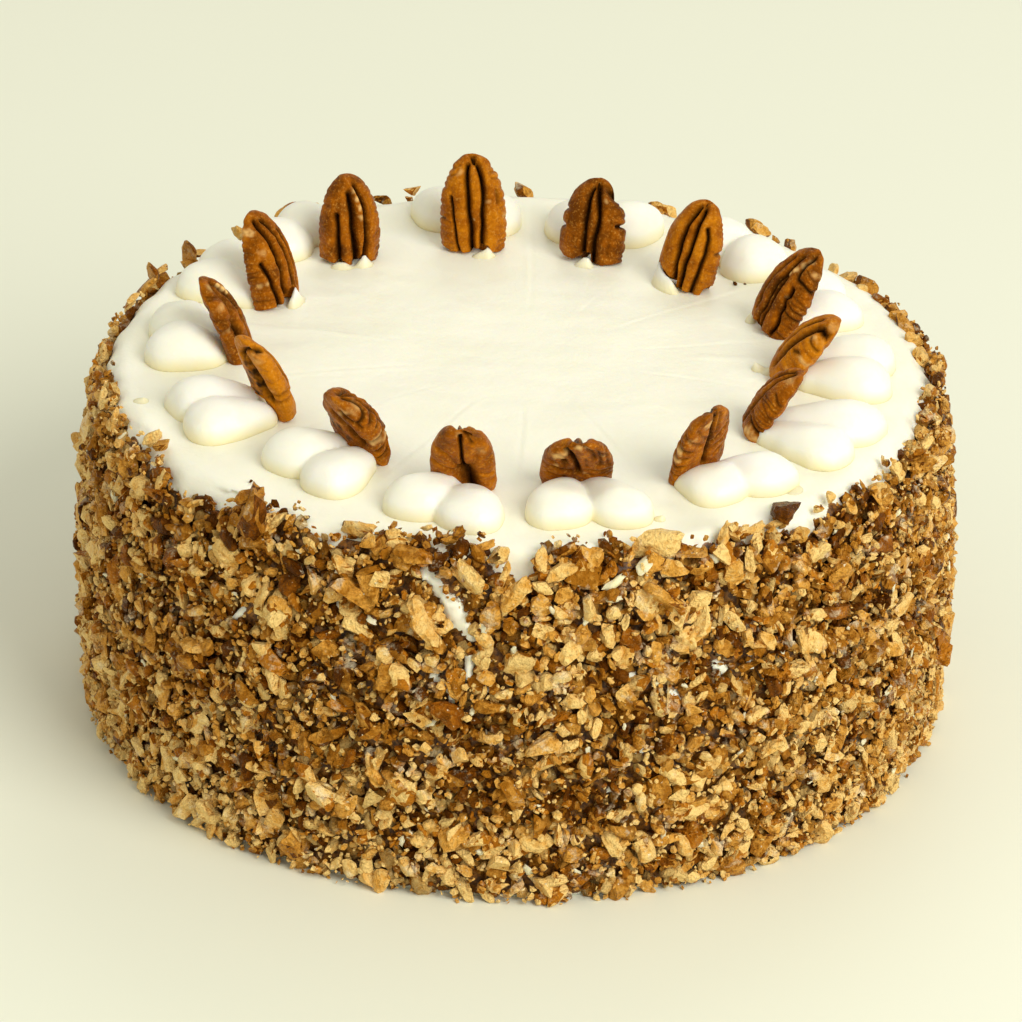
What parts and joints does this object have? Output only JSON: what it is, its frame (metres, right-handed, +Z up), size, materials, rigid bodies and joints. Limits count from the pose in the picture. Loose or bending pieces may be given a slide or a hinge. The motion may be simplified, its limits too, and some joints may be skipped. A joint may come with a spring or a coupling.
{
  "type": "carrot cake",
  "caption": "Whole round iced carrot cake with a chopped nut coat on its side and a ring of pecan halves, each set against a piped pair of icing shells.",
  "frame": {"origin": "centre of the flat face that the cake rests on, on the axis of the round cake", "axes": "+Z up through the middle of the cake; -Y is the front that is shown, +X is to its right"},
  "size_m": [0.2153, 0.2129, 0.1109],
  "materials": {
    "nut_coat": "matt chopped pecans on cream icing",
    "pecan": "satin brown pecan skin",
    "icing": "satin cream cheese icing"
  },
  "bodies": {
    "root": {"iced_cake": "nut_coat", "pecan_half_01": "pecan", "pecan_half_02": "pecan", "pecan_half_03": "pecan", "pecan_half_04": "pecan", "pecan_half_05": "pecan", "pecan_half_06": "pecan", "pecan_half_07": "pecan", "pecan_half_08": "pecan", "pecan_half_09": "pecan", "pecan_half_10": "pecan", "pecan_half_11": "pecan", "pecan_half_12": "pecan", "pecan_half_13": "pecan", "pecan_half_14": "pecan", "piped_pair_01": "icing", "piped_pair_02": "icing", "piped_pair_03": "icing", "piped_pair_04": "icing", "piped_pair_05": "icing", "piped_pair_06": "icing", "piped_pair_07": "icing", "piped_pair_08": "icing", "piped_pair_09": "icing", "piped_pair_10": "icing", "piped_pair_11": "icing", "piped_pair_12": "icing", "piped_pair_13": "icing", "piped_pair_14": "icing"}
  },
  "joints": []
}
